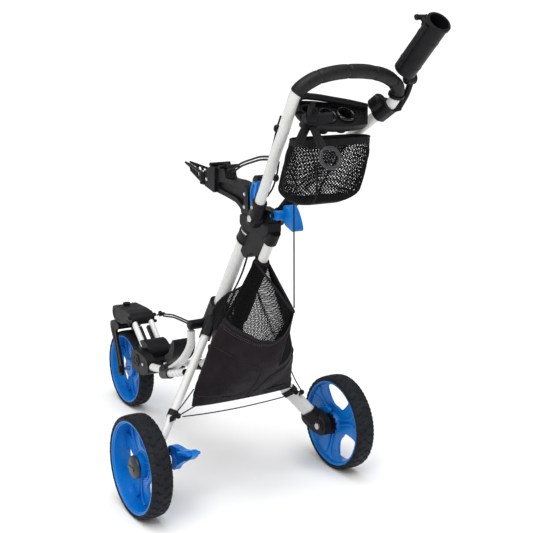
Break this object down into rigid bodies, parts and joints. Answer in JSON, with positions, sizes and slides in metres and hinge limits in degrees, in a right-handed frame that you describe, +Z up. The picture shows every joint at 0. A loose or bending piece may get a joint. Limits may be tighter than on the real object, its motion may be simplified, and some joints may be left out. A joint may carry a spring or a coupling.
{
  "type": "golf push trolley",
  "caption": "Folding golf push trolley: white tube frame, spoked blue wheels with wide tyres, a looped handle with console and net basket, an umbrella tube and a storage bag.",
  "frame": {"origin": "middle of the object's box, on the ground under the tyres", "axes": "+Z up, +Y the direction of travel towards the single front wheel, +X the user's right"},
  "size_m": [0.656, 1.3628, 1.2412],
  "materials": {
    "white_paint": "satin powder coat",
    "black_plastic": "fine moulded texture",
    "blue_plastic": "satin moulded",
    "tyre_foam": "matte with a chevron tread",
    "hub_grey": "matte",
    "steel": "brushed",
    "grip_foam": "soft matte",
    "bag_fabric": "plain weave nylon",
    "bag_mesh": "open knitted mesh",
    "cord_black": "braided"
  },
  "bodies": {
    "frame": {"main_tube": "white_paint", "hub_sleeve": "black_plastic", "left_leg": "white_paint", "right_leg": "white_paint", "rear_link": "white_paint", "top_sleeve": "black_plastic", "joint_yoke": "black_plastic", "joint_pin": "steel", "cradle_arm": "black_plastic", "left_side_tube": "white_paint", "right_side_tube": "white_paint", "left_strut": "white_paint", "right_strut": "white_paint", "left_strut_bracket": "black_plastic", "right_strut_bracket": "black_plastic", "front_housing": "black_plastic", "left_axle_bracket": "black_plastic", "right_axle_bracket": "black_plastic", "left_axle": "steel", "right_axle": "steel", "left_leg_clip": "black_plastic", "right_leg_clip": "black_plastic", "brake_cable": "cord_black", "storage_bag": "bag_fabric", "upper_bungee": "cord_black", "lower_bungee": "cord_black", "net_cord": "cord_black"},
    "handle": {"handle_tube": "white_paint", "left_tube_socket": "black_plastic", "right_tube_socket": "black_plastic", "grip": "grip_foam", "console_tray": "black_plastic", "mesh_basket": "bag_mesh", "umbrella_clamp": "black_plastic"},
    "upper_lever": {"upper_lever": "blue_plastic"},
    "lower_lever": {"lower_lever": "blue_plastic"},
    "left_cradle_wing": {"left_cradle_wing": "black_plastic"},
    "right_cradle_wing": {"right_cradle_wing": "black_plastic"},
    "front_frame": {"left_front_arm": "white_paint", "right_front_arm": "white_paint", "front_knuckle": "black_plastic", "caster_head": "black_plastic"},
    "swivel_lock": {"swivel_lock": "black_plastic"},
    "fork": {"fork": "black_plastic", "front_axle": "steel"},
    "front_wheel": {"front_tyre": "tyre_foam", "front_rim": "blue_plastic"},
    "left_wheel": {"left_tyre": "tyre_foam", "left_rim": "blue_plastic", "left_hub_cap": "hub_grey", "left_brake_ring": "black_plastic"},
    "right_wheel": {"right_tyre": "tyre_foam", "right_rim": "blue_plastic", "right_hub_cap": "hub_grey", "right_brake_ring": "black_plastic"},
    "umbrella_holder": {"umbrella_holder": "black_plastic"},
    "umbrella_knob": {"umbrella_knob": "black_plastic"},
    "drink_holder": {"drink_holder": "black_plastic"},
    "brake_pedal": {"brake_pedal": "blue_plastic"},
    "brake_pawl": {"brake_pawl": "blue_plastic"}
  },
  "joints": [
    {"name": "handle_fold", "type": "hinge", "parent": "frame", "child": "handle", "pos_m": [0, -0.22364, 0.748], "axis": [1, 0, 0], "range_deg": [-100, 0], "deforming": ["upper_bungee", "net_cord"]},
    {"name": "upper_lever_turn", "type": "hinge", "parent": "frame", "child": "upper_lever", "pos_m": [0, -0.16964, 0.757], "axis": [1, 0, 0], "range_deg": [0, 18]},
    {"name": "lower_lever_turn", "type": "hinge", "parent": "frame", "child": "lower_lever", "pos_m": [0, -0.26764, 0.76], "axis": [1, 0, 0], "range_deg": [-30, 0]},
    {"name": "left_wing_swing", "type": "hinge", "parent": "frame", "child": "left_cradle_wing", "pos_m": [-0.022, 0.06236, 0.8], "axis": [0, 0, 1], "range_deg": [0, 60]},
    {"name": "right_wing_swing", "type": "hinge", "parent": "frame", "child": "right_cradle_wing", "pos_m": [0.022, 0.06236, 0.8], "axis": [0, 0, 1], "range_deg": [-60, 0]},
    {"name": "front_fold", "type": "hinge", "parent": "frame", "child": "front_frame", "pos_m": [0, 0.38636, 0.208], "axis": [1, 0, 0], "range_deg": [-100, 0]},
    {"name": "swivel_lock_slide", "type": "slide", "parent": "front_frame", "child": "swivel_lock", "axis": [0, 0, 1], "range_m": [0, 0.006]},
    {"name": "fork_swivel", "type": "hinge", "parent": "front_frame", "child": "fork", "pos_m": [0, 0.59136, 0.28], "axis": [0, 0, 1], "continuous": true},
    {"name": "front_wheel_spin", "type": "hinge", "parent": "fork", "child": "front_wheel", "pos_m": [0, 0.56236, 0.119], "axis": [1, 0, 0], "continuous": true},
    {"name": "left_wheel_spin", "type": "hinge", "parent": "frame", "child": "left_wheel", "pos_m": [-0.3, -0.13564, 0.13], "axis": [1, 0, 0], "continuous": true},
    {"name": "right_wheel_spin", "type": "hinge", "parent": "frame", "child": "right_wheel", "pos_m": [0.3, -0.13564, 0.13], "axis": [1, 0, 0], "continuous": true},
    {"name": "umbrella_tilt", "type": "hinge", "parent": "handle", "child": "umbrella_holder", "pos_m": [0.155, -0.53964, 1.098], "axis": [1, 0, 0], "range_deg": [-45, 30]},
    {"name": "umbrella_knob_turn", "type": "hinge", "parent": "umbrella_holder", "child": "umbrella_knob", "pos_m": [0.123, -0.63794, 1.19762], "axis": [0, 0.722, 0.6919], "range_deg": [-180, 180]},
    {"name": "drink_holder_swing", "type": "hinge", "parent": "handle", "child": "drink_holder", "pos_m": [-0.097, -0.52164, 1.014], "axis": [-0.2422, -0.9149, 0.3229], "range_deg": [-20, 20]},
    {"name": "brake_pedal_press", "type": "hinge", "parent": "frame", "child": "brake_pedal", "pos_m": [-0.212, -0.13764, 0.158], "axis": [1, 0, 0], "range_deg": [0, 20]},
    {"name": "brake_pawl_drop", "type": "hinge", "parent": "frame", "child": "brake_pawl", "pos_m": [0.266, -0.09764, 0.157], "axis": [1, 0, 0], "range_deg": [0, 5.6]}
  ],
  "couplings": [
    {"joint": "brake_pawl_drop", "follows": "brake_pedal_press", "ratio": 0.28}
  ]
}
